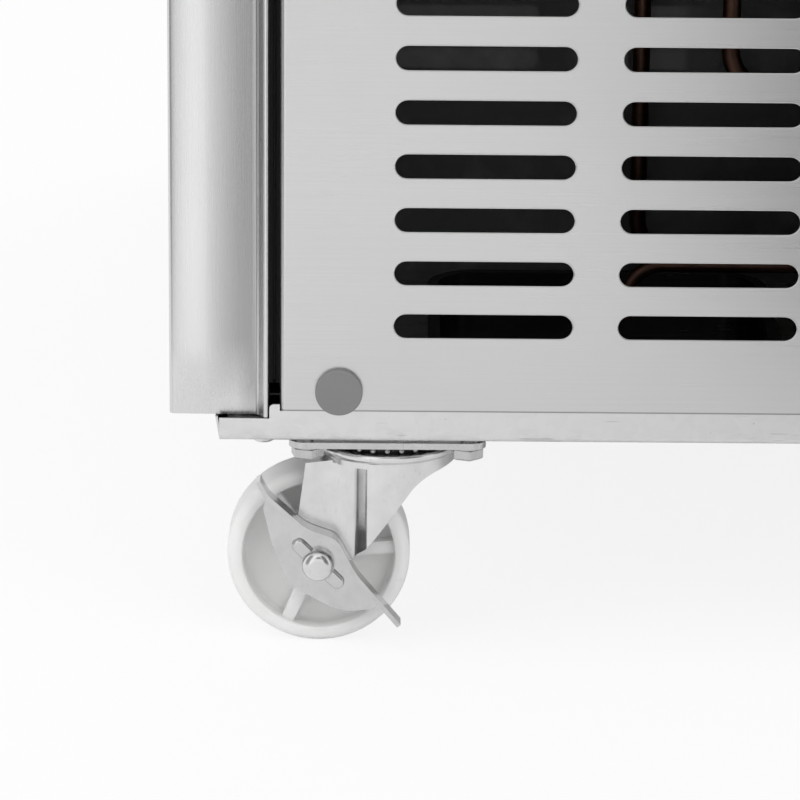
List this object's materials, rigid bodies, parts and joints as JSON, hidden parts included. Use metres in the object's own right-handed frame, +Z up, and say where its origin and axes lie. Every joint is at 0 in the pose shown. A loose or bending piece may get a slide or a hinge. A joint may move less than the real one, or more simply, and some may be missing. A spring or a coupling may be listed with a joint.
{
  "type": "refrigerated counter",
  "caption": "Free-standing stainless refrigerated counter with hinged doors, a slotted machine-side end panel, a worktop with rear upstand, and swivel casters, the front ones braked.",
  "frame": {"origin": "on the floor, in the middle of the footprint", "axes": "+X along the counter to the vented right end, +Y to the back, +Z up"},
  "size_m": [0.9, 0.7, 0.91],
  "materials": {
    "stainless": "satin",
    "galvanised": "satin",
    "zinc": "satin",
    "white_wheel": "satin",
    "grey_plastic": "matte",
    "pale_plastic": "satin",
    "bush_plastic": "matte",
    "black_plastic": "satin",
    "dark_glass": "gloss",
    "black_rubber": "matte",
    "black_enamel": "gloss",
    "aluminium": "satin",
    "copper": "satin",
    "board": "matte",
    "foam": "matte"
  },
  "bodies": {
    "cabinet": {"worktop": "stainless", "side_panel_right": "stainless", "side_panel_left": "stainless", "rear_grille": "stainless", "front_frame": "stainless", "machine_cover": "stainless", "inner_liner": "stainless", "control_fascia": "stainless", "shelf_uprights": "stainless", "shelf_clips": "stainless", "shelves": "stainless", "evaporator_cover": "stainless", "base_frame": "galvanised", "back_panel": "galvanised", "fan_shroud": "galvanised", "hinges": "zinc", "cabinet_fasteners": "zinc", "caster_plates": "zinc", "caster_bolts": "zinc", "side_caps": "grey_plastic", "drip_tray": "grey_plastic", "cable_gland": "grey_plastic", "thermostat_case": "black_plastic", "switch_frame": "black_plastic", "fan_motors": "black_plastic", "condensate_tray": "black_plastic", "thermostat_window": "dark_glass", "compressor_feet": "black_rubber", "compressor": "black_enamel", "machine_lining": "black_enamel", "evaporator_coil": "aluminium", "condenser": "aluminium", "refrigerant_lines": "copper", "worktop_core": "board", "insulation": "foam"},
    "door_right": {"door_right_skin": "stainless", "door_right_foam": "foam", "door_right_liner": "pale_plastic", "door_right_gasket": "black_rubber", "door_right_bushes": "bush_plastic"},
    "door_left": {"door_left_skin": "stainless", "door_left_foam": "foam", "door_left_liner": "pale_plastic", "door_left_gasket": "black_rubber", "door_left_bushes": "bush_plastic"},
    "evaporator_fan": {"evaporator_fan": "black_plastic"},
    "condenser_fan": {"condenser_fan": "black_plastic"},
    "power_switch": {"power_switch": "black_plastic"},
    "button_up": {"button_up": "black_plastic"},
    "button_down": {"button_down": "black_plastic"},
    "fork_front_right": {"caster_front_right_fork": "zinc"},
    "wheel_front_right": {"caster_front_right_wheel": "white_wheel"},
    "fork_front_left": {"caster_front_left_fork": "zinc"},
    "wheel_front_left": {"caster_front_left_wheel": "white_wheel"},
    "fork_rear_right": {"caster_rear_right_fork": "zinc"},
    "wheel_rear_right": {"caster_rear_right_wheel": "white_wheel"},
    "fork_rear_left": {"caster_rear_left_fork": "zinc"},
    "wheel_rear_left": {"caster_rear_left_wheel": "white_wheel"},
    "brake_front_right": {"brake_front_right": "zinc"},
    "brake_front_left": {"brake_front_left": "zinc"}
  },
  "joints": [
    {"name": "door_right_swing", "type": "hinge", "parent": "cabinet", "child": "door_right", "pos_m": [0.435, -0.3105, 0.43], "axis": [0, 0, 1], "range_deg": [0, 110]},
    {"name": "door_left_swing", "type": "hinge", "parent": "cabinet", "child": "door_left", "pos_m": [-0.435, -0.3105, 0.43], "axis": [0, 0, -1], "range_deg": [0, 110]},
    {"name": "evaporator_fan_spin", "type": "hinge", "parent": "cabinet", "child": "evaporator_fan", "pos_m": [0, 0.1482, 0.7212], "axis": [0, 1, 0], "continuous": true},
    {"name": "condenser_fan_spin", "type": "hinge", "parent": "cabinet", "child": "condenser_fan", "pos_m": [0.32, 0.152, 0.2019], "axis": [0, 1, 0], "continuous": true},
    {"name": "power_switch_rock", "type": "hinge", "parent": "cabinet", "child": "power_switch", "pos_m": [0.221, -0.3365, 0.7835], "axis": [-1, 0, 0], "range_deg": [0, 16]},
    {"name": "button_up_press", "type": "slide", "parent": "cabinet", "child": "button_up", "axis": [0, 1, 0], "range_m": [0, 0.0008], "stiffness_N_per_m": 300},
    {"name": "button_down_press", "type": "slide", "parent": "cabinet", "child": "button_down", "axis": [0, 1, 0], "range_m": [0, 0.0008], "stiffness_N_per_m": 300},
    {"name": "front_right_swivel", "type": "hinge", "parent": "cabinet", "child": "fork_front_right", "pos_m": [0.408, -0.2463, 0.09], "axis": [0, 0, 1], "continuous": true},
    {"name": "front_right_roll", "type": "hinge", "parent": "fork_front_right", "child": "wheel_front_right", "pos_m": [0.408, -0.2761, 0.04], "axis": [1, 0, 0], "continuous": true},
    {"name": "front_left_swivel", "type": "hinge", "parent": "cabinet", "child": "fork_front_left", "pos_m": [-0.408, -0.2463, 0.09], "axis": [0, 0, 1], "continuous": true},
    {"name": "front_left_roll", "type": "hinge", "parent": "fork_front_left", "child": "wheel_front_left", "pos_m": [-0.408, -0.2761, 0.04], "axis": [1, 0, 0], "continuous": true},
    {"name": "rear_right_swivel", "type": "hinge", "parent": "cabinet", "child": "fork_rear_right", "pos_m": [0.408, 0.272, 0.09], "axis": [0, 0, 1], "continuous": true},
    {"name": "rear_right_roll", "type": "hinge", "parent": "fork_rear_right", "child": "wheel_rear_right", "pos_m": [0.408, 0.2422, 0.04], "axis": [1, 0, 0], "continuous": true},
    {"name": "rear_left_swivel", "type": "hinge", "parent": "cabinet", "child": "fork_rear_left", "pos_m": [-0.408, 0.272, 0.09], "axis": [0, 0, 1], "continuous": true},
    {"name": "rear_left_roll", "type": "hinge", "parent": "fork_rear_left", "child": "wheel_rear_left", "pos_m": [-0.408, 0.2422, 0.04], "axis": [1, 0, 0], "continuous": true},
    {"name": "front_right_brake", "type": "hinge", "parent": "fork_front_right", "child": "brake_front_right", "pos_m": [0.408, -0.2761, 0.04], "axis": [1, 0, 0], "range_deg": [0, 15]},
    {"name": "front_left_brake", "type": "hinge", "parent": "fork_front_left", "child": "brake_front_left", "pos_m": [-0.408, -0.2761, 0.04], "axis": [1, 0, 0], "range_deg": [0, 15]}
  ]
}
